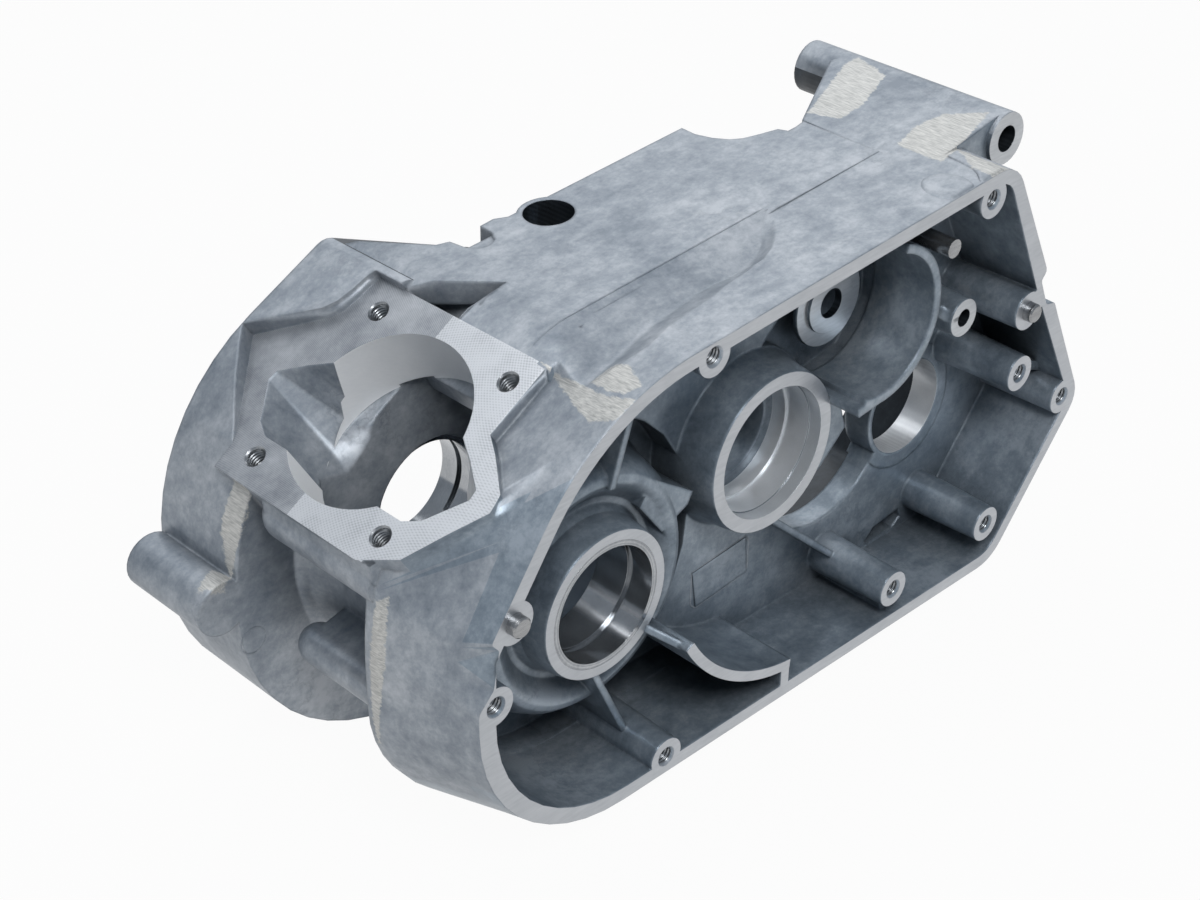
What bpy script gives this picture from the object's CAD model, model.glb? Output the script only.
# %% [markdown]
# # A raw die-cast engine crankcase
#
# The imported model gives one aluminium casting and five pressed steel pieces, in metres, with the
# origin on the crank axis. On the real thing the shape comes from a die and from a few milling
# and boring cuts, so the looks come from two families of surface: the mottled skin that the die
# leaves, and the bright metal where a tool has cut. This notebook dresses the model in that way.

# %% Load the frame
import bpy
import bmesh
import numpy as np
from mathutils import Matrix, Vector


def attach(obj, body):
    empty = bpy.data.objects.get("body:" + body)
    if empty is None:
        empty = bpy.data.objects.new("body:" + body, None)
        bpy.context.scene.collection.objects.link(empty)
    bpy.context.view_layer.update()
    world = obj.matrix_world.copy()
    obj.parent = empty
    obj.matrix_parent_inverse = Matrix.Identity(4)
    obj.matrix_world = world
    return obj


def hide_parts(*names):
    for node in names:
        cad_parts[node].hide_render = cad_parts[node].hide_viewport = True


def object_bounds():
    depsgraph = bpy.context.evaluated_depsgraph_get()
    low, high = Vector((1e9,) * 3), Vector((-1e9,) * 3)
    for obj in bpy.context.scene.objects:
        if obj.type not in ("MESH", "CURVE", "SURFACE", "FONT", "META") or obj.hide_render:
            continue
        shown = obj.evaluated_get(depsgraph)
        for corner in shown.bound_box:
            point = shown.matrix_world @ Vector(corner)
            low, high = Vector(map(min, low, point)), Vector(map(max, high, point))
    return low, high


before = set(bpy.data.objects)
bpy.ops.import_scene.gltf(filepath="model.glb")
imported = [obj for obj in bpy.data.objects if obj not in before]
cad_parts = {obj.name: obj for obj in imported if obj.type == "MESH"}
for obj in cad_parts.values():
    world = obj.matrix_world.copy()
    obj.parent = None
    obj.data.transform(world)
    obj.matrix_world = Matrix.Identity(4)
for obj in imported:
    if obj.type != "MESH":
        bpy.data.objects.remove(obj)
cad_box = [list(corner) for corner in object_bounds()]
print("nodes:", sorted(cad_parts))
print("CAD box in mm:", [[round(1000 * v, 1) for v in corner] for corner in cad_box])

# %% [markdown]
# ## Sizes and places
#
# All drawing is done in millimetres from the joint face of the clutch cover, which is how a
# crankcase is dimensioned. One function moves such a place into the frame of the model, in which
# depth is counted from the mouth of the crank seat.

# %% Sizes of the machined features
MM = 0.001
CRANK_FACE = 12.3
# axes along Y, each as (x, z)
CRANK = (0, 0)
CLUTCH = (69.5, 15.8)
OUTPUT = (146.0, -6.0)
SHIFT = (102.0, 48.0)
BREATHER = (142.0, 35.2)
REAR_LUG = (170.3, 79.9)
FRONT_LUG = (-73.3, -1.6)
COVER_SCREWS = [(25.2, 71.2), (140.2, 76.7), (189.9, -8.4), (-50.8, 0.8),
                (12.1, -51.7), (110.6, -43.6), (155.9, -41.1), (164.4, 10.2)]
# axis of the oil filler along Z, as (x, y), and the reach of its hole
FILLER = (43.3, 80.1)
FILLER_REACH = 8
# a coarse M6 thread in a 5 mm hole, and the cone at its mouth
THREAD_R = 3.0
HOLE_R = 2.5
PITCH = 1.0
MOUTH_R = 3.2
CONE = 0.7
HOLE_DEPTH = 16.0


def place(points):
    """Points in mm from the joint face, as metres in the frame of the model."""
    return (np.asarray(points, float) - [0, CRANK_FACE, 0]) * MM


# %% [markdown]
# ## The tilted flange
#
# The cylinder stands on a milled face that leans forward. Its studs, its bore and its tool marks
# are all laid out on that face, so it gets axes of its own: one up the slope, one across it from
# the clutch side inwards, and one out of it.

# %% Axes of the flange
FLANGE_TILT = np.radians(31.8)
FLANGE_AT = np.array([-35.1, 60.7, 51.2])
FLANGE_UP = np.array([np.cos(FLANGE_TILT), 0, np.sin(FLANGE_TILT)])
FLANGE_OUT = np.array([-np.sin(FLANGE_TILT), 0, np.cos(FLANGE_TILT)])
ACROSS = np.array([1.0, 0.0, 0.0])
INWARDS = np.array([0.0, 1.0, 0.0])
STUD_HALF = 25.5
SEAM_AT = 3.5


def on_flange(up, across):
    """A place on the flange face in mm, from its middle: the sum of both axes times their steps."""
    return FLANGE_AT + FLANGE_UP * up + INWARDS * across


STUDS = [(up, across) for up in (-STUD_HALF, STUD_HALF) for across in (-STUD_HALF, STUD_HALF)]
print("flange face centre:", np.round(place(FLANGE_AT), 4), "studs:", len(STUDS))

# %% [markdown]
# ## A small kit for node materials
#
# A material is a small graph. Writing each node on one line keeps the graph readable, so one
# helper makes any node, sets it up, links or fills its sockets and gives back its output, and a
# formula then reads from the inside out. Colours are written as they look on screen and turned
# into linear light.

# %% One helper for nodes, one for colours


def linear(code):
    """sRGB hex colour to linear light: the low part is a line, the rest a power curve."""
    c = np.array([int(code[i:i + 2], 16) for i in (1, 3, 5)]) / 255
    c = np.where(c <= 0.04045, c / 12.92, ((c + 0.055) / 1.055) ** 2.4)
    return (*c, 1.0)


def node(tree, kind, *values, out=0, stops=(), **named):
    """Add one shader node and give back one of its outputs.

    Values fill its sockets in order. Of the named ones, those in small letters are settings of
    the node and the others are sockets, with _ for a blank, or _6 for the seventh. What comes
    from another node is linked, anything else is set. A ramp takes (position, hex) stops.
    """
    made = tree.nodes.new("ShaderNode" + kind)
    sockets = {f"_{k}": value for k, value in enumerate(values)}
    for name, value in named.items():
        if name.islower():
            setattr(made, name, value)
        else:
            sockets[name] = value
    for name, value in sockets.items():
        socket = made.inputs[int(name[1:]) if name[0] == "_" else name.replace("_", " ")]
        if isinstance(value, bpy.types.NodeSocket):
            tree.links.new(value, socket)
        else:
            socket.default_value = value
    if stops:
        elements = made.color_ramp.elements
        while len(elements) < len(stops):
            elements.new(0.5)
        for element, (position, code) in zip(elements, stops):
            element.position = position
            element.color = linear(code)
    return made.outputs[out] if made.outputs else made


# %% [markdown]
# ## Patterns and graphs that every finish shares
#
# Noise in Blender is scaled by a number per metre, so a blob of s millimetres needs 1 / (s / 1000).
# Patterns are then added up with weights. A finish of bare metal always ends in the same way: a
# colour, how metallic and how rough it is, and a normal that rounds the edges and carries relief.

# %% Clouds, weighted sums, and the ends of a graph


def clouds(tree, at, size_mm, detail=4.0, stretch=(1, 1, 1), rough=0.55):
    """Noise whose blobs are about size_mm across; a stretch below 1 lengthens them that way."""
    mapped = node(tree, "Mapping", at, Scale=stretch)
    return node(tree, "TexNoise", Vector=mapped, Scale=1 / (size_mm * MM), Detail=detail,
                Roughness=rough, out="Fac")


def weighted(tree, *terms):
    """Sum over the terms of value * weight."""
    total = None
    for value, weight in terms:
        one = node(tree, "Math", value, weight, operation="MULTIPLY")
        total = one if total is None else node(tree, "Math", total, one, operation="ADD")
    return total


def new_material(name):
    """Empty node material, its graph, and the object coordinates in it."""
    made = bpy.data.materials.new(name)
    made.use_nodes = True
    made.node_tree.nodes.clear()
    return made, made.node_tree, node(made.node_tree, "TexCoord", out="Object")


def close_graph(tree, colour, metallic, roughness, relief, strength, depth_mm, edge_mm, samples):
    """End of a graph: relief depth_mm deep on edges rounded to edge_mm, and the metal's shader."""
    bevel = node(tree, "Bevel", Radius=edge_mm * MM, samples=samples)
    bump = node(tree, "Bump", Strength=strength, Distance=depth_mm * MM, Height=relief, Normal=bevel)
    shader = node(tree, "BsdfPrincipled", Base_Color=colour, Metallic=metallic, Roughness=roughness,
                  Normal=bump)
    node(tree, "OutputMaterial", shader)


# %% [markdown]
# ## Ground patches
#
# Where flash has been ground off, the skin is gone and pale metal with parallel scratches shows.
# Each such patch is a mask: a convex outline in space, inside which the way to the nearest edge is
# positive. Noise added to that way breaks the edge, as a grinding belt does.

# %% Outlines and mask of the ground patches
EDGE_MM = 0.5
EDGE_OUTWARDS = 1.6
SLAB_MM = 3.5
# convex outlines in mm from the joint face: two on the rear lug block, the strip before it, three
# at the front corner of the top, and one each on the edges of the bell and of the case
GROUND = [((165, 76, 87.3), (169.6, 75.4, 88), (166.1, 62.4, 87.4), (149.1, 56.4, 85.4),
           (138.6, 56.1, 84.1), (135.7, 65.1, 83.7)),
          ((136.8, 32.2, 83.9), (148.1, 34.7, 85.3), (158.1, 32.9, 86.5), (166.2, 23.7, 87.5),
           (144.9, 18.2, 84.9), (136.8, 17.2, 84)),
          ((139.6, 18.1, 84.2), (146, 18.1, 84.4), (146, 0, 84.4), (134.5, 0, 83.8),
           (137.4, 4.5, 84), (139.4, 10.8, 84.2)),
          ((-2.6, 15.7, 69), (3.4, 15.6, 71.5), (4.6, 10.5, 71.8), (1.4, 3.0, 71.1),
           (-2.0, 4.5, 69.9), (-3.0, 9.7, 69.2)),
          ((-4.8, 26.4, 66), (-5.0, 16.6, 67.3), (-5.4, 4.6, 68.5), (-9, 3, 66.9),
           (-11.6, 7.2, 64.8), (-9.6, 13.5, 65)),
          ((-5.2, 8.0, 68.4), (-3.4, 0.8, 69.4), (-9.0, 0.8, 66.9), (-10.6, 5.0, 65.4)),
          ((-61.2, 83.0, 31.0), (-64.5, 83.0, 24.0), (-71.5, 83.0, 4.0), (-75.0, 88.0, 4.0),
           (-68.0, 88.0, 24.0), (-62.0, 88.0, 33.0)),
          ((-60.0, 26.4, 25.0), (-61.0, 31.5, 22.0), (-63.6, 33.0, 5.0), (-64.0, 33.0, -24.0),
           (-63.4, 29.5, -24.0), (-63.0, 28.8, 5.0))]


def patch_mask(tree, at, corners, ragged):
    """1 inside a convex outline of points (mm from the joint face) and 0 outside.

    The way in from the nearest edge is min over edges of (p - a) . inward; the edge is broken by
    noise and the mask stays within a thin slab about the outline's own plane.
    """
    points = place(corners)
    middle_of = points.mean(0)
    axis = np.linalg.svd(points - middle_of)[2][2]
    inside = None
    for a, b in zip(points, np.roll(points, -1, axis=0)):
        inward = np.cross(axis, b - a)
        inward *= np.sign(inward @ (middle_of - a)) / np.linalg.norm(inward)
        one = node(tree, "VectorMath", at, tuple(inward), operation="DOT_PRODUCT", out="Value")
        one = node(tree, "Math", one, float(inward @ a), operation="SUBTRACT")
        inside = one if inside is None else node(tree, "Math", inside, one, operation="MINIMUM")
    off = node(tree, "VectorMath", at, tuple(axis), operation="DOT_PRODUCT", out="Value")
    off = node(tree, "Math", off, float(axis @ middle_of), operation="SUBTRACT")
    off = node(tree, "Math", off, operation="ABSOLUTE")
    slab = node(tree, "Math", SLAB_MM * MM, off, operation="SUBTRACT")
    inside = node(tree, "Math", inside, slab, operation="MINIMUM")
    edge = node(tree, "Math", inside, 1 / (EDGE_MM * MM), operation="MULTIPLY")
    edge = node(tree, "Math", edge, ragged, operation="ADD")
    return node(tree, "Math", edge, EDGE_OUTWARDS, operation="ADD", use_clamp=True)


def ground_patches(tree, at):
    """Mask of all the patches together, and the height of the scratches of the belt."""
    ragged = node(tree, "Math", clouds(tree, at, 1.3, 5, (1, 0.5, 1), 0.7), 0.5, operation="SUBTRACT")
    ragged = node(tree, "Math", ragged, 7.0, operation="MULTIPLY")
    mask = None
    for outline in GROUND:
        one = patch_mask(tree, at, outline, ragged)
        mask = one if mask is None else node(tree, "Math", mask, one, operation="MAXIMUM")
    return mask, clouds(tree, at, 0.4, 3, (1, 0.12, 1), 0.6)


# %% [markdown]
# ## The die-cast skin
#
# Aluminium that comes out of a die is a matt blue-grey with a soft sheen. Cold metal and release
# agent leave clouds two or three centimetres wide, fine flow marks, thin dark veins and tiny
# specks. Oil and dust darken the corners, which the ambient occlusion node finds. The inside is
# bluer and glossier than the outside, and the gearbox is still dark with oil.

# %% Cast skin
# sizes in mm of the marks on the skin
CLOUD = 34
FLOW = 7
GRAIN = 1.6
SPECK = 0.8
VEIN = 17
STAIN = 40
PORE = 0.6


def dark_marks(tree, at):
    """Share of dark marks: veins where a noise crosses its middle, within stains, and specks."""
    vein = node(tree, "Math", clouds(tree, at, VEIN, 7, rough=0.66), 0.5, operation="SUBTRACT")
    vein = node(tree, "Math", vein, operation="ABSOLUTE")
    vein = node(tree, "Math", vein, 42.0, operation="MULTIPLY")
    vein = node(tree, "Math", 1.0, vein, operation="SUBTRACT", use_clamp=True)
    stain = node(tree, "Math", clouds(tree, at, STAIN, 2), 0.5, operation="SUBTRACT", use_clamp=True)
    stain = node(tree, "Math", stain, 2.6, operation="MULTIPLY")
    stain = node(tree, "Math", vein, stain, operation="MULTIPLY", use_clamp=True)
    speck = node(tree, "Math", clouds(tree, at, SPECK, 2), 0.7, operation="SUBTRACT", use_clamp=True)
    speck = node(tree, "Math", speck, 5.0, operation="MULTIPLY", use_clamp=True)
    both = node(tree, "Math", stain, speck, operation="MAXIMUM")
    return node(tree, "Math", both, 0.5, operation="MULTIPLY")


def cast_skin(name, dark, middle, light, rough, hollows, hollow_mm, ground=True):
    """Mottled die-cast aluminium; its three colours run from stained to clean.

    The share of light left in a corner hollow_mm deep is hollows.
    """
    made, tree, at = new_material(name)
    cloud = clouds(tree, at, CLOUD, 6, rough=0.6)
    flow = clouds(tree, at, FLOW, 6, (1, 1.4, 1.2), 0.66)
    grain = node(tree, "Math", clouds(tree, at, GRAIN, 4, rough=0.7), 0.5, operation="SUBTRACT")
    blend = weighted(tree, (cloud, 0.58), (flow, 0.42), (grain, 0.2))
    colour = node(tree, "ValToRGB", blend, stops=[(0.36, dark), (0.5, middle), (0.62, light)])
    colour = node(tree, "Mix", dark_marks(tree, at), _6=colour, _7=linear("#50565c"),
                  data_type="RGBA", out=2)
    open_sky = node(tree, "AmbientOcclusion", Distance=hollow_mm * MM, samples=6, out="AO")
    open_sky = node(tree, "MapRange", open_sky, 0.15, 0.85, hollows, 1.0)
    colour = node(tree, "Mix", 1.0, _6=colour, _7=open_sky, data_type="RGBA", blend_type="MULTIPLY", out=2)
    relief = weighted(tree, (clouds(tree, at, PORE, 3), 0.6), (flow, 0.9))
    if ground:
        mask, streak = ground_patches(tree, at)
        bare = node(tree, "ValToRGB", streak, stops=[(0.3, "#a3a4a2"), (0.5, "#c0c0bd"), (0.7, "#d6d5d1")])
        colour = node(tree, "Mix", mask, _6=colour, _7=bare, data_type="RGBA", out=2)
        cut = node(tree, "Math", streak, mask, operation="MULTIPLY")
        relief = node(tree, "Math", relief, weighted(tree, (cut, 1.4)), operation="ADD")
    rough_skin = node(tree, "Math", weighted(tree, (cloud, 0.24)), rough - 0.12, operation="ADD")
    close_graph(tree, colour, 0.45, rough_skin, relief, 0.22, 0.1, 1.3, 6)
    return made


# the outside: matt and grey, clean on the high spots
outer_skin = cast_skin("die_cast_skin", "#7b848e", "#9aa1a9", "#b7bcc2", 0.46, 0.6, 10)
# the inside of the case: bluer and smoother, dark in its corners
inner_skin = cast_skin("die_cast_inside", "#6b7783", "#88949f", "#a6b0ba", 0.36, 0.36, 22, False)
# the gearbox: the same skin under old oil, nearly black
gearbox_skin = cast_skin("oily_gearbox_skin", "#2b3137", "#363d44", "#434b53", 0.42, 0.15, 60, False)
print("skins:", outer_skin.name, inner_skin.name, gearbox_skin.name)

# %% [markdown]
# ## Tool marks
#
# A cutter leaves a bright surface with its own grain. A belt leaves straight scratches, a boring
# bar leaves fine rings round the axis, and a face mill leaves wide arcs. Each pattern is a height
# of about 0 to 1. Blender's wave texture has one crest every 2 pi / (20 scale), which turns the
# spacing of the marks into its scale. Real feed marks lie 0.1 to 0.3 mm apart, which is too fine
# for the render, so they are drawn 0.55 to 1.2 mm apart.

# %% Patterns of belt, boring bar and face mill


def wave_scale(spacing_mm):
    """Scale of a wave texture with one crest every spacing_mm: 2 pi / 20 / spacing."""
    return 2 * np.pi / 20 / (spacing_mm * MM)


def belt_marks(tree, at):
    """Fine scratches along the joint face."""
    return clouds(tree, at, 0.8, 4, (0.12, 1, 1))


def rings_about(centre, spacing_mm):
    """Pattern of fine rings of a boring bar round an axis along Y through centre (x, z)."""
    def pattern(tree, at):
        moved = node(tree, "Mapping", at, Location=(-centre[0] * MM, 0, -centre[1] * MM))
        wave = node(tree, "TexWave", Vector=moved, Scale=wave_scale(spacing_mm), Distortion=0.6,
                    Detail=2.0, wave_type="RINGS", rings_direction="Y", out="Fac")
        return weighted(tree, (wave, 0.35), (clouds(tree, at, 0.9, 3, (1, 6, 1)), 0.65))
    return pattern


def arcs_about(tree, at, centre, spacing_mm, wobble):
    """Rings round a far-off centre (mm), one crest every spacing_mm."""
    moved = node(tree, "Mapping", at, Location=tuple(-place([centre])[0]))
    return node(tree, "TexWave", Vector=moved, Scale=wave_scale(spacing_mm), Distortion=wobble,
                Detail=1.0, wave_type="RINGS", rings_direction="SPHERICAL", out="Fac")


def mill_arcs(tree, at):
    """Face mill marks: wide plain arcs beyond the seam, crossed arcs on the near side of it."""
    plain = weighted(tree, (arcs_about(tree, at, on_flange(6.0, 78.0), 0.55, 0.6), 0.5))
    one_way = arcs_about(tree, at, on_flange(-70.0, -62.0), 0.8, 0.3)
    other_way = arcs_about(tree, at, on_flange(62.0, -70.0), 0.8, 0.3)
    crossed = weighted(tree, (node(tree, "Math", one_way, other_way, operation="ADD"), 0.5))
    depth = node(tree, "SeparateXYZ", at, out="Y")
    seam = float(place([[0, FLANGE_AT[1] + SEAM_AT, 0]])[0][1])
    side = node(tree, "Math", depth, seam, operation="LESS_THAN")
    picked = node(tree, "Mix", side, _2=plain, _3=crossed)
    return weighted(tree, (picked, 0.7), (clouds(tree, at, 1.4, 4), 0.3), (side, 0.45))


# %% [markdown]
# ## Cut metal
#
# Each cut surface is the same alloy under another tool. The height of the tool marks also tints
# the metal, because a groove shows a darker side. How metallic it looks is matched to the real
# surface: a typical metal has 0.9 to 1, but freshly cut aluminium scatters light in its grooves,
# so the milled and bored faces are paler and less mirror-like than that.

# %% Machined finishes


def cut_metal(name, light, dark, rough, pattern, metallic=0.9, edge_mm=0.25):
    """Bright cut aluminium or steel; pattern(tree, at) returns the height of the tool marks."""
    made, tree, at = new_material(name)
    cloud = clouds(tree, at, 9, 3)
    height = pattern(tree, at)
    tone = weighted(tree, (cloud, 0.5), (height, 0.5))
    colour = node(tree, "ValToRGB", tone, stops=[(0.25, dark), (0.75, light)])
    roughness = node(tree, "Math", weighted(tree, (cloud, 0.16)), rough - 0.08, operation="ADD")
    close_graph(tree, colour, metallic, roughness, height, 0.3, 0.03, edge_mm, 4)
    return made


# aluminium sanded on a belt: pale and matt, with straight scratches
joint_metal = cut_metal("belt_ground_joint_face", "#c3c6ca", "#a8acb1", 0.4, belt_marks)
# aluminium under a face mill: arcs of light and dark, with a seam between two passes
flange_metal = cut_metal("face_milled_flange", "#cfd2d6", "#81868d", 0.38, mill_arcs, 0.55)
# aluminium bored with a broad tool: almost white, with no rings to see
spigot_metal = cut_metal("bored_spigot", "#f4f5f6", "#e9ebed", 0.5, belt_marks, 0.0)
# bored bearing seats: bright, with a soft band of light along the bore
bored_metal = cut_metal("bored_aluminium", "#e6e9ec", "#c8ccd0", 0.32, rings_about(CLUTCH, 1.2), 0.55)
# the crank chamber: bored too, but dark with oil
chamber_metal = cut_metal("bored_crank_chamber", "#7a838c", "#545d66", 0.34, rings_about(CRANK, 1.2))
# drilled holes: little light reaches them
hole_metal = cut_metal("drilled_hole", "#6d757d", "#3f464d", 0.3, rings_about(CRANK, 1.2))
# ends of bosses under a facing tool: flat and bright
faced_metal = cut_metal("faced_boss_end", "#c9cccf", "#a3a7ab", 0.36, belt_marks)
# tapped threads: bright flanks with sharp edges
thread_metal = cut_metal("cut_thread", "#b0b3b6", "#74787c", 0.3, belt_marks, edge_mm=0.08)
# ground steel rings: near to a mirror
steel_ring = cut_metal("ground_seat_ring", "#b7babd", "#777b80", 0.14, rings_about(CRANK, 0.9))
# turned steel pins: smooth and a little yellower than the aluminium
steel_pin = cut_metal("turned_steel_pin", "#a9aaab", "#7d7e80", 0.26, belt_marks)
print("materials with those of the packed model:", len(bpy.data.materials))

# %% [markdown]
# ## A copy of the casting
#
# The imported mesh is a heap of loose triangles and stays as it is. The copy of it is merged first,
# so that neighbouring faces share their points, and triangles that lie in one plane become one
# face again. That gives clean edges to shade and a closed surface to carve.

# %% Copy and merge the casting


def new_object(name, data):
    """An object at the origin that shows a mesh, or carries a lamp or a camera."""
    made = bpy.data.objects.new(name, data)
    bpy.context.collection.objects.link(made)
    return made


def copy_merged(source, name):
    """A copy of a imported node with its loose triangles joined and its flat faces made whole."""
    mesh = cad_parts[source].data.copy()
    mesh.name = name
    work = bmesh.new()
    work.from_mesh(mesh)
    bmesh.ops.remove_doubles(work, verts=work.verts, dist=0.001 * MM)
    bmesh.ops.dissolve_limit(work, angle_limit=np.radians(0.3), verts=work.verts, edges=work.edges)
    work.to_mesh(mesh)
    work.free()
    return new_object(name, mesh)


casting = copy_merged("casting", "casting_skin")
print("casting faces:", len(casting.data.polygons))

# %% [markdown]
# ## The rolled hollow on the top
#
# Between the joint face and the parting line the top sinks towards the flange. Its floor falls by
# a quarter of a millimetre per millimetre from the parting line, and the plate beside the joint
# rolls down into it: depth = slope * (seam - y) * t ** power, where t runs from 0 to 1 across the
# bank. The plate also rolls down to the edge of the cylinder flange. Both depths join smoothly as
# the cube root of the sum of their cubes.

# %% Heights of the top
TOP_AT_CRANK = 73.4
TOP_SLOPE = 0.0768
SEAM_Y = 36.9
HOLLOW_SLOPE = 0.2577
# foot of the bank beside the joint face, as (x, y)
BANK_FOOT = np.array([[-30, 12], [-12, 15], [-5.6, 16.2], [-0.9, 17.0], [6.7, 18.2], [11.9, 19.1],
                      [20.2, 21.2], [25.5, 22.1], [33.1, 22.6], [41.3, 23.4], [47.8, 23.6],
                      [58.0, 22.6], [63.4, 23.0], [69.1, 25.2], [74.4, 28.8], [80, 34.0],
                      [84, 38.0]])
# the bank is soft beside the flange and steeper further back: x, its width and its power
BANK_X = [42, 60]
BANK_WIDTH = [9.0, 4.5]
BANK_POWER = [1.6, 1.0]
# the plate rolls to this height at the flange corner, from ROLL_END forwards over ROLL_LENGTH
CORNER_X = -7
CORNER_Z = 68.6
ROLL_END = 9
ROLL_LENGTH = 16
ROLL_POWER = 1.8
# the cut stays this far above the plate and above the flange, whose edge lies at FLANGE_EDGE_X
OVER_PLATE = 0.03
OVER_FLANGE = 0.06
FLANGE_EDGE_X = -6.4
# beyond the seam and behind this x nothing is cut, so the surface lies well above the plate
UNCUT_X = 9.5
WELL_ABOVE = 5


def top_z(x):
    """Height of the top plate in mm at a distance x behind the crank."""
    return TOP_AT_CRANK + TOP_SLOPE * np.asarray(x, float)


def foot_distance(x, y):
    """Signed distance in mm from the foot of the bank, positive inside the hollow."""
    a, b = BANK_FOOT[:-1], BANK_FOOT[1:]
    along = b - a
    point = np.stack([x, y], -1)[..., None, :]
    t = np.clip(((point - a) * along).sum(-1) / (along ** 2).sum(-1), 0, 1)
    gap = np.linalg.norm(point - (a + t[..., None] * along), axis=-1)
    inside = (np.interp(x, BANK_FOOT[:, 0], BANK_FOOT[:, 1]) < y) & (x < BANK_FOOT[-1, 0])
    return gap.min(-1) * np.where(inside, 1, -1)


def rolled_top(x, y):
    """Height of the rolled surface: the plate less the cubic sum of its two depths."""
    width = np.interp(x, BANK_X, BANK_WIDTH)
    power = np.interp(x, BANK_X, BANK_POWER)
    t = np.clip((foot_distance(x, y) + width) / width, 0, 1)
    hollow = HOLLOW_SLOPE * np.clip(SEAM_Y - y, 0, None) * t ** power
    roll = (top_z(CORNER_X) - CORNER_Z) * np.clip((ROLL_END - x) / ROLL_LENGTH, 0, 1) ** ROLL_POWER
    height = top_z(x) - np.cbrt(hollow ** 3 + roll ** 3) + OVER_PLATE
    over_flange = FLANGE_AT[2] + np.tan(FLANGE_TILT) * (x - FLANGE_AT[0]) + OVER_FLANGE
    height = np.where(x < FLANGE_EDGE_X, np.maximum(height, over_flange), height)
    return np.where((y > SEAM_Y + 0.1) & (x > UNCUT_X), top_z(x) + WELL_ABOVE, height)


print("height of the top over the crank:", top_z(0), "and at the corner:", CORNER_Z)

# %% [markdown]
# ## The filling beside the flange corner
#
# At the front the hollow ends on the slope before the case, and beside the flange corner the
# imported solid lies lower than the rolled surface. A filling makes up for that. It reaches a
# little above the rolled surface, which is cut clean afterwards, and runs out on the slope.

# %% Heights of the filling
# slope in front of the case: a point on it, and how it leans along x and y
WEDGE_AT = (-13.9, 15.6, 62.2)
WEDGE_LEAN = (0.5, 0.12, 0.86)
FILL_FROM_X = -6.6
FILL_FROM_Y = 27
FILL_RISE_Y = 3
FILL_RUN_OUT = 4
FILL_SPARE = 0.6
FILL_SUNK = 0.3
FILL_THICK = 1.5


def wedge_z(x, y):
    """Height of the slope in front of the case, beside the flange."""
    lean_x, lean_y, lean_z = WEDGE_LEAN
    return WEDGE_AT[2] + (lean_x * (x - WEDGE_AT[0]) - lean_y * (y - WEDGE_AT[1])) / lean_z


def filled_top(x, y):
    """Height of the filling beside the flange corner, which runs out on the slope."""
    share = np.clip((y - np.interp(x, BANK_FOOT[:, 0], BANK_FOOT[:, 1])) / FILL_RUN_OUT, 0, 1)
    rise = np.clip(x - FILL_FROM_X, 0, None) + FILL_RISE_Y * np.clip(y - FILL_FROM_Y, 0, None)
    return np.minimum(rolled_top(x, y) + FILL_SPARE, wedge_z(x, y) - FILL_SUNK + rise * share)


def filled_bottom(x, y):
    """Height of the underside of the filling, inside the solid."""
    return np.minimum(wedge_z(x, y), filled_top(x, y)) - FILL_THICK


# %% [markdown]
# ## Fill and carve
#
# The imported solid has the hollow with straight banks. The copy is first filled up a little beside
# the flange corner, and then everything above the rolled surface is cut away. Both tools are
# closed solids between two height fields. Booleans of thin cuts need numbers near one, so the
# copy is sized in millimetres while it is cut.

# %% Carve the top


def grid_quads(rows, columns):
    """The four corner numbers of each face on a grid of points."""
    index = np.arange(rows * columns).reshape(rows, columns)
    return np.stack([index[:-1, :-1], index[:-1, 1:], index[1:, 1:], index[1:, :-1]], -1).reshape(-1, 4)


def turn_outwards(mesh, merge_mm=None):
    """Make all faces of a mesh point outwards, after joining points closer than merge_mm."""
    work = bmesh.new()
    work.from_mesh(mesh)
    if merge_mm is not None:
        bmesh.ops.remove_doubles(work, verts=work.verts, dist=merge_mm * MM)
    bmesh.ops.recalc_face_normals(work, faces=work.faces)
    work.to_mesh(mesh)
    work.free()


def between_fields(name, x, y, bottom, top):
    """Closed solid between two height fields over the grid x, y, as an object sized in mm."""
    gx, gy = np.meshgrid(x, y, indexing="ij")
    low = np.stack([gx, gy - CRANK_FACE, bottom(gx, gy)], -1)
    lid = np.stack([gx, gy - CRANK_FACE, top(gx, gy)], -1)
    index = np.arange(gx.size).reshape(gx.shape)
    rim = np.concatenate([index[0, :], index[1:, -1], index[-1, -2::-1], index[-2:0:-1, 0]])
    sides = np.stack([rim, np.roll(rim, -1), np.roll(rim, -1) + gx.size, rim + gx.size], -1)
    quads = grid_quads(*gx.shape)
    mesh = bpy.data.meshes.new(name)
    points = np.concatenate([low.reshape(-1, 3), lid.reshape(-1, 3)])
    faces = np.concatenate([quads, quads[:, ::-1] + gx.size, sides])
    mesh.from_pydata(points.tolist(), [], faces.tolist())
    turn_outwards(mesh)
    return new_object(name, mesh)


def combine(made, tool, operation):
    """Boolean of a copy with a tool, both sized in mm, where the solver works best."""
    step = made.modifiers.new("combine", "BOOLEAN")
    step.operation = operation
    step.solver = "FAST"
    step.object = tool
    evaluated = made.evaluated_get(bpy.context.evaluated_depsgraph_get())
    result = bpy.data.meshes.new_from_object(evaluated)
    made.modifiers.clear()
    made.data = result
    bpy.data.objects.remove(tool)


def above_all(x, y):
    """Height of the lid of the carver, above the whole casting."""
    return np.full_like(x, 95.0)


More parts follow.
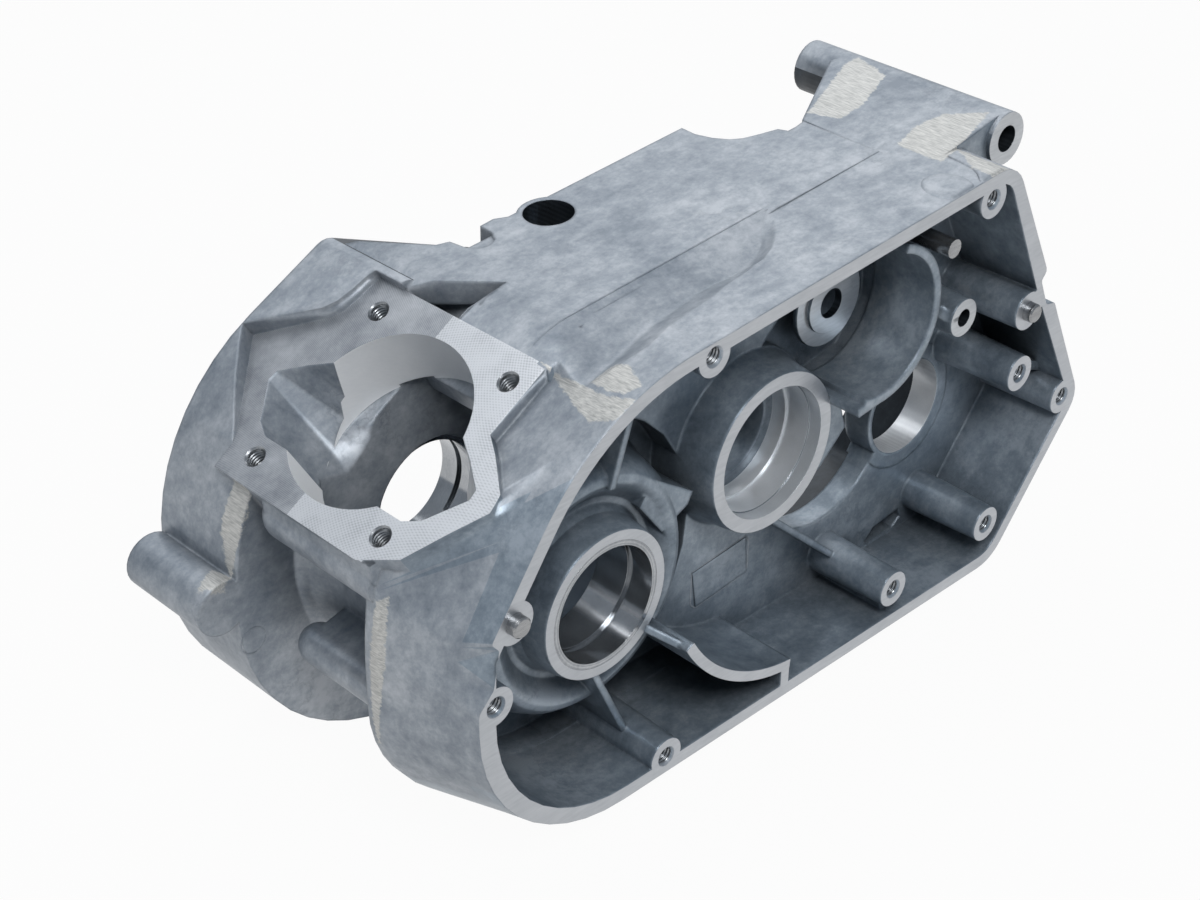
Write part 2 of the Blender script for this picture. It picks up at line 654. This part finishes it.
casting.data.transform(Matrix.Scale(1 / MM, 4))
filling = between_fields("filling", np.linspace(-6.3, 9, 24), np.linspace(15, 35, 31),
                         filled_bottom, filled_top)
combine(casting, filling, "UNION")
carver_y = np.concatenate([np.linspace(-1, SEAM_Y, 44), np.linspace(38, 61.7, 26)])
carver = between_fields("carver", np.linspace(-12, 90, 86), carver_y, rolled_top, above_all)
combine(casting, carver, "DIFFERENCE")
casting.data.transform(Matrix.Scale(MM, 4))
casting.data.materials.clear()
print("casting faces after carving:", len(casting.data.polygons))

# %% [markdown]
# ## Which faces did a tool cut?
#
# The casting is one solid, so its mesh doesn't say which of its faces are machined. Geometry
# does: a faced surface is a set of faces that look one way at one depth, and a bore is a set of
# faces at one distance from an axis, with normals that point at it. Each test gives a mask over
# all the faces at once.

# %% Tests on the faces of the casting


def face_arrays(mesh):
    """Centres, normals and areas of all faces as arrays, centres in mm from the joint face."""
    count = len(mesh.polygons)
    centres, normals, areas = np.empty(3 * count), np.empty(3 * count), np.empty(count)
    mesh.polygons.foreach_get("center", centres)
    mesh.polygons.foreach_get("normal", normals)
    mesh.polygons.foreach_get("area", areas)
    return centres.reshape(-1, 3) / MM + [0, CRANK_FACE, 0], normals.reshape(-1, 3), areas


def disc(centre, depth, radius, along=-1, slack=0.06):
    """Faces that look along -Y or +Y at one depth, within radius of centre (x, z)."""
    near = np.hypot(centres[:, 0] - centre[0], centres[:, 2] - centre[1]) < radius
    return near & (np.abs(centres[:, 1] - depth) < slack) & (normals[:, 1] * along > 0.99)


def bore(centre, radius, y0, y1, slack=0.5):
    """Faces of a bore along Y: their normals point at its axis and lie at its radius."""
    d = np.stack([centres[:, 0] - centre[0], centres[:, 2] - centre[1]], 1)
    far = np.hypot(d[:, 0], d[:, 1])
    facing = (d[:, 0] * normals[:, 0] + d[:, 1] * normals[:, 2]) / np.maximum(far, 1e-6)
    within = (centres[:, 1] > y0) & (centres[:, 1] < y1)
    return (np.abs(far - radius) < slack) & (facing < -0.9) & within


def flange_bore(up, across, radius, low, high, slack=0.5):
    """Faces of a bore square to the flange face, between two heights over it (under it if < 0)."""
    d = centres - on_flange(up, across)
    height = d @ FLANGE_OUT
    flat = d - np.outer(height, FLANGE_OUT)
    far = np.linalg.norm(flat, axis=1)
    facing = np.einsum("ij,ij->i", flat, normals) / np.maximum(far, 1e-6)
    return (np.abs(far - radius) < slack) & (facing < -0.9) & (height > low) & (height < high)


# %% [markdown]
# ## Room for the threads
#
# Real threads are drawn further down. Their holes have smooth walls in the solid, which come out
# of the copy here. The stud holes have no countersink in the solid, so the points on their mouths
# move out to its radius, and the face round them gets the larger hole.

# %% Take out the walls of the screw holes
centres, normals, areas = face_arrays(casting.data)
walls = np.zeros(len(centres), bool)
for x, z in COVER_SCREWS:
    walls |= bore((x, z), HOLE_R, -1, HOLE_DEPTH + 0.5, 0.7)
for up, across in STUDS:
    walls |= flange_bore(up, across, HOLE_R, -HOLE_DEPTH - 0.5, 0.5, 0.7)
work = bmesh.new()
work.from_mesh(casting.data)
work.faces.ensure_lookup_table()
bmesh.ops.delete(work, geom=[work.faces[k] for k in np.flatnonzero(walls)], context="FACES")
out_of_flange = Vector(FLANGE_OUT)
for up, across in STUDS:
    mouth = Vector(place([on_flange(up, across)])[0])
    for vert in work.verts:
        away = vert.co - mouth
        if away.length < (HOLE_R + 0.3) * MM and abs(away.dot(out_of_flange)) < 0.02 * MM:
            vert.co = mouth + away.normalized() * MOUTH_R * MM
work.to_mesh(casting.data)
work.free()
print("wall faces taken out for threads:", walls.sum())

# %% [markdown]
# ## A finish for each face
#
# Every face starts as outer skin. Faces within the open case get the inner skin, and those behind
# its wall, under the top plate, the oily one. Then each rule gives its faces a cut finish, from
# the joint face to the last drilled hole. The sizes are those of the machined features.

# %% Finishes of the casting
# bores along Y, each with its axis, radius, the depths between which it lies, and slack
CHAMBER_BORE = (CRANK, 37, 32, 83, 0.8)
CLUTCH_BORE = (CLUTCH, 20, 15, 34, 1.1)
CLUTCH_STEP = (CLUTCH, 15.7, 30, 41, 0.5)
OUTPUT_BORE = (OUTPUT, 15.8, 20, 41, 0.5)
SHIFT_BORE = (SHIFT, 4.6, 20, 41)
REAR_LUG_BORE = (REAR_LUG, 4.1, 0, 120)
FRONT_LUG_BORE = (FRONT_LUG, 4.1, 0, 130)
BREATHER_BORE = (BREATHER, 2.8, 0, 40)
# the bore for the cylinder, square to the flange: its place there, radius and heights
SPIGOT_BORE = (0, 0, 26.7, -22, 1)

centres, normals, areas = face_arrays(casting.data)
face_x, face_y, face_z = centres.T
above_flange = (centres - FLANGE_AT) @ FLANGE_OUT
in_filler = np.hypot(face_x - FILLER[0], face_y - FILLER[1]) < FILLER_REACH
# each rule is a finish and its faces; a disc has an axis, a depth and a radius
rules = [
    (joint_metal, disc((60, 0), 0, 400)),
    (flange_metal, (np.abs(above_flange) < 0.06) & (normals @ FLANGE_OUT > 0.99)),
    (joint_metal, disc(CRANK, CRANK_FACE, 24) | disc(CLUTCH, 15.9, 26)),
    (bored_metal, bore(*CLUTCH_BORE) | disc(CLUTCH, 28.5, 21)),
    (spigot_metal, flange_bore(*SPIGOT_BORE)),
    (chamber_metal, bore(*CHAMBER_BORE)),
    (bored_metal, bore(*OUTPUT_BORE)),
    (hole_metal, bore(*SHIFT_BORE) | bore(*REAR_LUG_BORE) | bore(*FRONT_LUG_BORE)),
    (hole_metal, bore(*BREATHER_BORE)),
    (faced_metal, disc(SHIFT, 25, 9.6) | disc(SHIFT, 26, 14) | disc(BREATHER, 7, 7)),
    (faced_metal, disc(REAR_LUG, 18.5, 8.4) | disc(REAR_LUG, 94.2, 8.4, 1)),
    (faced_metal, disc(FRONT_LUG, 115.5, 8.4, 1)),
    (hole_metal, in_filler & (np.abs(normals[:, 2]) < 0.3) & (face_z > 60)),
]
# the open case lies before this wall, below the top plate and the slope in front of it
CASE_WALL_Y = 39
under_top = top_z(face_x) - 3.1
under_front_slope = 62.5 + 0.62 * (face_x + 14)
on_top = (normals[:, 2] > 0.4) & (face_z > 58) & (face_x < 90)
in_case = ((face_x > -52.5) & (face_x < 194) & (face_y > 0.2) & (face_y < CASE_WALL_Y) & (face_z > -53.6)
           & (face_z < under_top) & (face_z < under_front_slope) & ~on_top)
# the gearbox lies behind the wall, under the top plate and outside the crank chamber
in_gearbox = ((face_x > 14) & (face_x < 182) & (face_y > CASE_WALL_Y) & (face_y < 113) & (face_z > -46)
              & (face_z < top_z(face_x) - 4.4) & (np.hypot(face_x, face_z) > 38))

palette = [outer_skin, inner_skin, gearbox_skin]
indices = np.zeros(len(centres), int)
indices[in_case] = palette.index(inner_skin)
indices[in_gearbox] = palette.index(gearbox_skin)
for finish, chosen in rules:
    if finish not in palette:
        palette.append(finish)
    indices[chosen] = palette.index(finish)
for finish in palette:
    casting.data.materials.append(finish)
casting.data.polygons.foreach_set("material_index", indices.astype(np.int32))
for k, finish in enumerate(palette):
    print(f"{finish.name}: {areas[indices == k].sum() * 1e6:.0f} mm2")

# %% [markdown]
# ## Round bores, flat faces
#
# A bore in the mesh is a ring of flats, and at its edge smooth shading would bend the light on the
# flat face beside it. Normals weighted by area keep large faces flat. On the bores, each corner's
# normal is then set to point straight at the axis, so that they catch the light as turned metal.

# %% Shade the casting and hand it to the frame


def shade(made, degrees, weighted_by_area=False):
    """Smooth shading with sharp edges beyond the angle; weights let large flat faces stay flat."""
    made.data.polygons.foreach_set("use_smooth", [True] * len(made.data.polygons))
    made.data.set_sharp_from_angle(angle=np.radians(degrees))
    if weighted_by_area:
        weight = made.modifiers.new("weighted", "WEIGHTED_NORMAL")
        weight.keep_sharp = True
        weight.weight = 50
        evaluated = made.evaluated_get(bpy.context.evaluated_depsgraph_get())
        made.data = bpy.data.meshes.new_from_object(evaluated)
        made.modifiers.clear()


def hand_over(made, finish=None):
    """Put a finished piece on the one body of the part."""
    if finish is not None:
        made.data.materials.clear()
        made.data.materials.append(finish)
    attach(made, "root")
    print(made.name, len(made.data.polygons), "faces")


def round_bores(made, bores):
    """Exact normals on bored faces: each corner's normal points straight at the axis of its bore."""
    mesh = made.data
    corner_normals, points = np.empty(3 * len(mesh.loops)), np.empty(3 * len(mesh.vertices))
    where, sizes = np.empty(len(mesh.loops), int), np.empty(len(mesh.polygons), int)
    mesh.corner_normals.foreach_get("vector", corner_normals)
    mesh.vertices.foreach_get("co", points)
    mesh.loops.foreach_get("vertex_index", where)
    mesh.polygons.foreach_get("loop_total", sizes)
    corner_normals = corner_normals.reshape(-1, 3)
    points = points.reshape(-1, 3)[where] / MM + [0, CRANK_FACE, 0]
    owner = np.repeat(np.arange(len(sizes)), sizes)
    for chosen, origin, axis in bores:
        pick = chosen[owner]
        away = points[pick] - origin
        away -= np.outer(away @ axis, axis)
        corner_normals[pick] = -away / np.linalg.norm(away, axis=1)[:, None]
    mesh.normals_split_custom_set(corner_normals.tolist())


shade(casting, 24, weighted_by_area=True)
bored = [(flange_bore(*SPIGOT_BORE), FLANGE_AT, FLANGE_OUT)]
for one in (CHAMBER_BORE, CLUTCH_BORE, OUTPUT_BORE, CLUTCH_STEP):
    x, z = one[0]
    bored.append((bore(*one), np.array([x, 0, z]), INWARDS))
round_bores(casting, bored)
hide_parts("casting")
hand_over(casting)

# %% [markdown]
# ## Screw threads
#
# Twelve holes take screws, and the light catches their threads. A thread is a surface of two
# parameters: the angle round the axis and the height along it, with a radius that goes up and
# down once per pitch and shifts along by one pitch for each turn. The smooth wall of each hole
# was taken out of the copy, and this surface stands in for it.

# %% Threads in the screw and stud holes
STEPS_PER_TURN = 28
ROWS_PER_PITCH = 8
THREAD_FROM = 0.7 * CONE
RUN_IN = 0.5


def surface_mesh(name, grids):
    """One mesh from arrays of points (rows, columns, 3) in mm; neighbours are joined by quads."""
    points, faces, start = [], [], 0
    for grid in grids:
        rows, columns = grid.shape[:2]
        points.append(grid.reshape(-1, 3))
        faces.append(start + grid_quads(rows, columns))
        start += rows * columns
    mesh = bpy.data.meshes.new(name)
    mesh.from_pydata(place(np.concatenate(points)), [], np.concatenate(faces).tolist())
    return new_object(name, mesh)


def thread_grid(mouth, inward, side, start):
    """Internal thread: radius = minor + height * triangle(depth / pitch - angle / full turn).

    The height grows from 0 over the run-in, and above it lies the countersink, where the radius
    falls to the minor one over CONE mm of depth.
    """
    t = np.linspace(0, 2 * np.pi, STEPS_PER_TURN + 1)
    s = np.linspace(start, HOLE_DEPTH, int(HOLE_DEPTH * ROWS_PER_PITCH / PITCH) + 1)
    angle, along = np.meshgrid(t, s)
    phase = (along / PITCH - angle / (2 * np.pi)) % 1.0
    height = (THREAD_R - HOLE_R) * np.clip((along - THREAD_FROM) / RUN_IN, 0, 1)
    cone = np.clip(1 - along / CONE, 0, None)
    radius = HOLE_R + (MOUTH_R - HOLE_R) * cone + height * (1 - np.abs(2 * phase - 1))
    other = np.cross(inward, side)
    return (np.asarray(mouth) + along[..., None] * inward
            + radius[..., None] * (np.cos(angle)[..., None] * side + np.sin(angle)[..., None] * other))


grids = [thread_grid((x, 0.0, z), INWARDS, ACROSS, CONE) for x, z in COVER_SCREWS]
grids += [thread_grid(on_flange(up, across), -FLANGE_OUT, INWARDS, 0.0) for up, across in STUDS]
threads = surface_mesh("screw_threads", grids)
shade(threads, 180)
hand_over(threads, thread_metal)

# %% [markdown]
# ## Lines and pads that the die leaves
#
# The halves of a die leave a fine bead where they meet, an ejector pin leaves a ring, and inserts
# leave low pads. A bead is a half-round swept along a line: at each point of the line the section
# width / 2 * cos a across it and height * sin a along the surface normal. A pad is a plateau with
# a rolled border, drawn from its border inwards. All of them sink a little into the casting, so
# that no gap shows.

# %% Surfaces of a bead and of a pad
SECTION_POINTS = 7
END_HEIGHT = 0.05
SUNK_SHARE = 0.15
PAD_SUNK = 0.05


def bead(line, normal, width, height):
    """Half-round strip along a line of points, on a surface with one normal."""
    line, normal = np.asarray(line, float), np.asarray(normal, float) / np.linalg.norm(normal)
    run = np.gradient(line, axis=0)
    run /= np.linalg.norm(run, axis=1)[:, None]
    across = np.cross(run, normal)
    a = np.linspace(0, np.pi, SECTION_POINTS)
    fade = np.ones(len(line))
    fade[[0, -1]] = END_HEIGHT
    return (line[:, None] + (width / 2) * np.cos(a)[None, :, None] * across[:, None]
            + height * (fade[:, None] * np.sin(a)[None] - SUNK_SHARE)[..., None] * normal)


def thin_out(line, step):
    """The same line with a point about every step mm."""
    line = np.asarray(line, float)
    along = np.concatenate([[0], np.cumsum(np.linalg.norm(np.diff(line, axis=0), axis=1))])
    t = np.linspace(0, along[-1], max(int(along[-1] / step), 2) + 1)
    return np.stack([np.interp(t, along, line[:, k]) for k in range(3)], 1)


def pad(outline, height, roll):
    """Plateau on the top plate inside an outline (x, y).

    Its height is height * sin(pi / 2 * way in / roll) on the border, and then stays even.
    """
    ring = thin_out(np.column_stack([np.vstack([outline, outline[:1]]), np.zeros(len(outline) + 1)]), 0.8)
    ring = ring[:, :2]
    centre = ring[:-1].mean(0)
    reach = np.linalg.norm(ring - centre, axis=1)
    rows = []
    for inward in (0, 0.15, 0.35, 0.6, 1.0):
        x, y = (centre + (ring - centre) * (1 - inward * roll / reach)[:, None]).T
        rows.append(np.stack([x, y, top_z(x) - PAD_SUNK + height * np.sin(np.pi / 2 * inward)], 1))
    x, y = np.tile(centre, (len(ring), 1)).T
    rows.append(np.stack([x, y, top_z(x) - PAD_SUNK + height], 1))
    return np.stack(rows)


# %% [markdown]
# ## Where the lines and pads lie
#
# The parting line runs along the top, at the far edge of the hollow, and follows its height. The
# ring of the ejector pin lies on the near face of the bell, and a plain outline on the case floor
# marks an insert. The two pads, a round one and a strip, lie on the top plate beside the rim.

# %% Beads and pads
PARTING_Y = 36.95
EJECTOR_AT = (-64.6, 83.0, -16.5)
EJECTOR_R = 4.1
CASE_FLOOR_Y = 28.5
TOP_NORMAL = np.array([-TOP_SLOPE, 0, 1.0])
TOWARDS_CLUTCH_SIDE = (0, -1, 0)
turn = np.linspace(0, 2 * np.pi, 41)
run = np.linspace(-5.5, 84, 46)
beside_seam = np.full_like(run, PARTING_Y)
parting = np.stack([run, beside_seam, rolled_top(run, beside_seam) - 0.03], 1)
ejector = np.stack([EJECTOR_AT[0] + EJECTOR_R * np.cos(turn), np.full(len(turn), EJECTOR_AT[1]),
                    EJECTOR_AT[2] + EJECTOR_R * np.sin(turn)], 1)
insert = [(x, CASE_FLOOR_Y, z) for x, z in ((51, -23), (74, -21), (75.5, -23), (75.5, -33),
                                            (74, -34.5), (53, -36.5), (51, -34.5), (51, -23))]
beads = [bead(thin_out(parting, 2), TOP_NORMAL, 0.6, 0.3),
         bead(ejector, TOWARDS_CLUTCH_SIDE, 0.5, 0.18),
         bead(thin_out(insert, 1), TOWARDS_CLUTCH_SIDE, 0.6, 0.2)]
ellipse = np.stack([126.3 + 6.9 * np.cos(turn[:-1]), np.clip(6.2 + 8.0 * np.sin(turn[:-1]), 0.5, None)], 1)
strip = np.array([(139.9, 17.6), (139.7, 14), (139.3, 10.8), (138.5, 7.5), (137.1, 4.5), (134.4, 1.6),
                  (134.6, 0.5), (144.2, 0.5), (144.4, 9), (144.4, 17.6)])
lines = surface_mesh("die_lines", beads + [pad(ellipse, 0.55, 0.9), pad(strip, 0.5, 0.6)])
turn_outwards(lines.data, merge_mm=0.001)
shade(lines, 40)
hand_over(lines, outer_skin)

# %% [markdown]
# ## Steel pieces
#
# The two seat rings, the dowels and the shift pin keep their solids, which are turned shapes
# already. They only need their metal: ground in the bores, turned on the pins.

# %% Finish of the steel nodes
FINISH = {"crank_ring_near": steel_ring, "crank_ring_far": steel_ring,
          "dowel_front": steel_pin, "dowel_rear": steel_pin, "shift_pin": steel_pin}
for name, finish in FINISH.items():
    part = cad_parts[name]
    if part.material_slots:
        for one in part.material_slots:
            one.material = finish
    else:
        part.data.materials.append(finish)
    print(name, "gets", finish.name)

# %% [markdown]
# ## Floor and world
#
# Bare metal shows what is around it. The camera sees the floor and the sky white. In reflections
# the floor stays white and the sky is dimmer, and as a lamp the sky is dimmer again, so that the
# metal isn't washed out. The floor is partly a plain lit surface, which takes a faint shadow.

# %% Floor and world
FLOOR_GAP = 0.4
FLOOR_REACH = 6.0
FLOOR_GLOW_SHARE = 0.96
SKY_LIGHT = 0.26
SKY_IN_METAL = 0.24


def seen_directly(tree, *kinds):
    """1 for rays of the named kinds, 0 for the others."""
    seen = None
    for kind in kinds:
        one = node(tree, "LightPath", out=kind)
        seen = one if seen is None else node(tree, "Math", seen, one, operation="MAXIMUM")
    return seen


def stage_material():
    """White floor: mostly plain light for the camera and in reflections, partly a lit surface."""
    made = bpy.data.materials.new("studio_floor")
    made.use_nodes = True
    tree = made.node_tree
    tree.nodes.clear()
    seen = seen_directly(tree, "Is Camera Ray", "Is Glossy Ray", "Is Transmission Ray")
    share = node(tree, "Math", seen, FLOOR_GLOW_SHARE, operation="MULTIPLY")
    lit = node(tree, "BsdfDiffuse", Color=linear("#b4b4b4"))
    glow = node(tree, "Emission", Color=linear("#ffffff"), Strength=1.0)
    node(tree, "OutputMaterial", node(tree, "MixShader", share, lit, glow))
    return made


floor_z = cad_box[0][2] - FLOOR_GAP * MM
corners = [(x * FLOOR_REACH, y * FLOOR_REACH, floor_z) for x, y in ((-1, -1), (1, -1), (1, 1), (-1, 1))]
floor_mesh = bpy.data.meshes.new("floor")
floor_mesh.from_pydata(corners, [], [(0, 1, 2, 3)])
floor_mesh.materials.append(stage_material())
floor = new_object("floor", floor_mesh)

world = bpy.data.worlds.new("studio")
bpy.context.scene.world = world
world.use_nodes = True
tree = world.node_tree
tree.nodes.clear()
seen = seen_directly(tree, "Is Camera Ray", "Is Transmission Ray")
glossy = node(tree, "Math", seen_directly(tree, "Is Glossy Ray"), SKY_IN_METAL, operation="MULTIPLY")
share = node(tree, "Math", seen, glossy, operation="MAXIMUM")
rest_of_light = node(tree, "Math", share, 1 - SKY_LIGHT, operation="MULTIPLY")
strength = node(tree, "Math", SKY_LIGHT, rest_of_light, operation="ADD")
sky = node(tree, "Mix", seen_directly(tree, "Is Camera Ray"), _6=linear("#e4eefa"), _7=linear("#ffffff"),
           data_type="RGBA", out=2)
node(tree, "OutputWorld", node(tree, "Background", Color=sky, Strength=strength))
print("floor at", round(floor_z / MM, 1), "mm")

# %% [markdown]
# ## Lamps
#
# Three soft lamps model the metal. The one above lights the tilted flange and the top, the small
# one in front lights the faces that look at the clutch side, and the broad one behind lies where
# the top plate mirrors it to the camera, so it is kept weak.

# %% Lamps
# name, place in metres, width in metres, power in watts
LAMPS = [("lamp_back", (1.2, 0.9, 0.95), 1.2, 6.0),
         ("lamp_top", (-0.15, 0.6, 1.5), 1.0, 6.8),
         ("lamp_front", (-0.45, -0.75, 1.15), 0.5, 12.0)]


def soft_lamp(name, at, size, power, target):
    """Square soft lamp at a place, looking at a target, power in watts."""
    data = bpy.data.lights.new(name, "AREA")
    data.shape = "SQUARE"
    data.size = size
    data.energy = power
    made = new_object(name, data)
    made.location = at
    made.rotation_euler = (Vector(target) - Vector(at)).to_track_quat("-Z", "Y").to_euler()
    return made


middle = (np.array(cad_box[0]) + np.array(cad_box[1])) / 2
lamps = [soft_lamp(*lamp, middle) for lamp in LAMPS]
print("lamps:", [lamp.name for lamp in lamps])

# %% [markdown]
# ## Camera
#
# The camera was worked out from edges and bores of known size in the photograph. Its three axes
# are unit vectors in the frame of the model, and its focal length is in pixels of a picture that
# is 1200 pixels wide, which the sensor width turns into millimetres.

# %% Camera
VIEW_RIGHT = Vector((0.7125313698, -0.7015684075, 0.0100407470))
VIEW_UP = Vector((0.3689018648, 0.3867625287, 0.8451781827))
VIEW_BACK = Vector((-0.5968336964, -0.5985119180, 0.5343903282))
CAMERA_AT = Vector((-0.3415623979, -0.3394268896, 0.3532251308))
FOCAL_PIXELS = 2240.506
IMAGE_WIDTH = 1200

lens = bpy.data.cameras.new("camera")
lens.sensor_width = 36
lens.lens = lens.sensor_width * FOCAL_PIXELS / IMAGE_WIDTH
lens.clip_start = 0.01
lens.clip_end = 50
camera = new_object("camera", lens)
turned = Matrix((VIEW_RIGHT, VIEW_UP, VIEW_BACK)).transposed()
camera.matrix_world = Matrix.Translation(CAMERA_AT) @ turned.to_4x4()
bpy.context.scene.camera = camera
bpy.context.scene.view_settings.view_transform = "Standard"
print("lens in mm:", round(lens.lens, 2))
